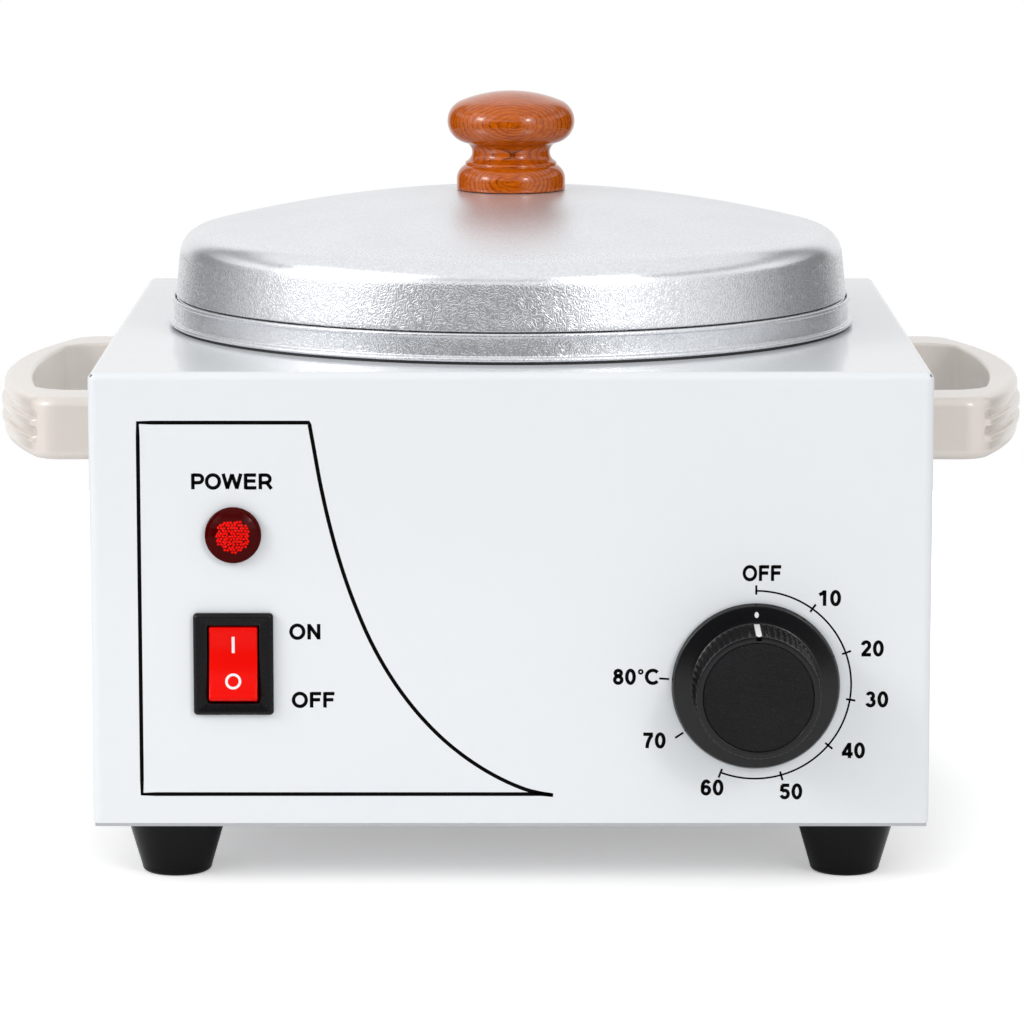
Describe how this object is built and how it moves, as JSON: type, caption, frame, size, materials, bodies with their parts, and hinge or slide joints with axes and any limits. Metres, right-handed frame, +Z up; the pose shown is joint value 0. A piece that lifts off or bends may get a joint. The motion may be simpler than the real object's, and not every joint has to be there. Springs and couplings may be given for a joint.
{
  "type": "wax warmer",
  "caption": "Square enamelled wax warmer on feet, with a lift-out pot in a heated well, a domed lid with a wooden knob, side handles, a rocker switch, a pilot lamp and a thermostat dial.",
  "frame": {"origin": "on the table, under the middle of the whole object's bounding box", "axes": "+X to the object's right as seen from the front, across the two handles; -Y out of the front panel; +Z up"},
  "size_m": [0.2986, 0.256, 0.2109],
  "materials": {
    "white_enamel": "glossy enamel",
    "zinc_steel": "zinc plated",
    "black_rubber": "matt",
    "off_white_moulding": "satin moulding",
    "black_silicone": "matt",
    "peened_aluminium": "peened",
    "heater_steel": "heat tinted",
    "glass_wool": "felted",
    "copper": "drawn",
    "black_plastic": "satin",
    "bright_aluminium": "polished",
    "bright_steel": "bright drawn",
    "satin_aluminium": "fine satin",
    "varnished_wood": "gloss varnish",
    "red_plastic": "gloss",
    "brass_metal": "machined",
    "red_lens": "clear dark red",
    "amber_bulb": "clear",
    "cream_ceramic": "matt",
    "dark_grey_insert": "satin",
    "white_paint": "satin",
    "brown_insulation": "satin",
    "blue_insulation": "satin",
    "green_insulation": "satin"
  },
  "bodies": {
    "housing": {"housing_shell": "white_enamel", "base_plate": "zinc_steel", "foot_front_left": "black_rubber", "foot_front_right": "black_rubber", "foot_rear_left": "black_rubber", "foot_rear_right": "black_rubber", "foot_screws": "zinc_steel", "foot_nuts": "zinc_steel", "handle_left": "off_white_moulding", "handle_right": "off_white_moulding", "handle_screws": "zinc_steel", "rim_seal": "black_silicone", "heating_well": "peened_aluminium", "well_pillar": "zinc_steel", "tie_rod": "zinc_steel", "tie_nut": "zinc_steel", "heater_band": "heater_steel", "heater_clamp_bolt": "zinc_steel", "insulation_blanket": "glass_wool", "sensor_clip": "heater_steel", "temperature_sensor": "copper", "capillary_tube": "copper", "thermal_cutout": "black_plastic", "switch_frame": "black_plastic", "switch_terminals": "brass_metal", "pilot_lens": "red_lens", "pilot_barrel": "black_plastic", "pilot_bulb": "amber_bulb", "pilot_clip": "zinc_steel", "thermostat_body": "cream_ceramic", "thermostat_bracket": "zinc_steel", "thermostat_screws": "zinc_steel", "terminal_block": "cream_ceramic", "terminal_clamps": "brass_metal", "terminal_screws": "zinc_steel", "earth_stud": "brass_metal", "cord_gland": "black_plastic", "live_wires": "brown_insulation", "neutral_wires": "blue_insulation", "earth_wire": "green_insulation"},
    "pot": {"wax_pot": "bright_aluminium", "bail_ears": "bright_aluminium"},
    "bail": {"bail_handle": "bright_steel"},
    "lid": {"lid": "satin_aluminium", "knob_washer": "black_silicone", "lid_knob": "varnished_wood", "knob_screw": "zinc_steel"},
    "rocker": {"rocker": "red_plastic"},
    "dial": {"thermostat_shaft": "zinc_steel", "dial_knob": "black_plastic", "dial_insert": "dark_grey_insert", "dial_pointer": "white_paint"}
  },
  "joints": [
    {"name": "pot_lift", "type": "slide", "parent": "housing", "child": "pot", "axis": [0, 0, 1], "range_m": [0, 0.11]},
    {"name": "lid_lift", "type": "slide", "parent": "pot", "child": "lid", "axis": [0, 0, 1], "range_m": [0, 0.16]},
    {"name": "bail_swing", "type": "hinge", "parent": "pot", "child": "bail", "pos_m": [0, 0.005, 0.15355], "axis": [1, 0, 0], "range_deg": [0, 90]},
    {"name": "rocker_tip", "type": "hinge", "parent": "housing", "child": "rocker", "pos_m": [-0.0759, -0.1098, 0.0627], "axis": [1, 0, 0], "range_deg": [0, 18]},
    {"name": "dial_turn", "type": "hinge", "parent": "housing", "child": "dial", "pos_m": [0.067, -0.11, 0.0567], "axis": [0, 1, 0], "range_deg": [0, 274]}
  ],
  "couplings": [
    {"joint": "bail_swing", "follows": "lid_lift", "rad_per_m": 9.8174}
  ]
}
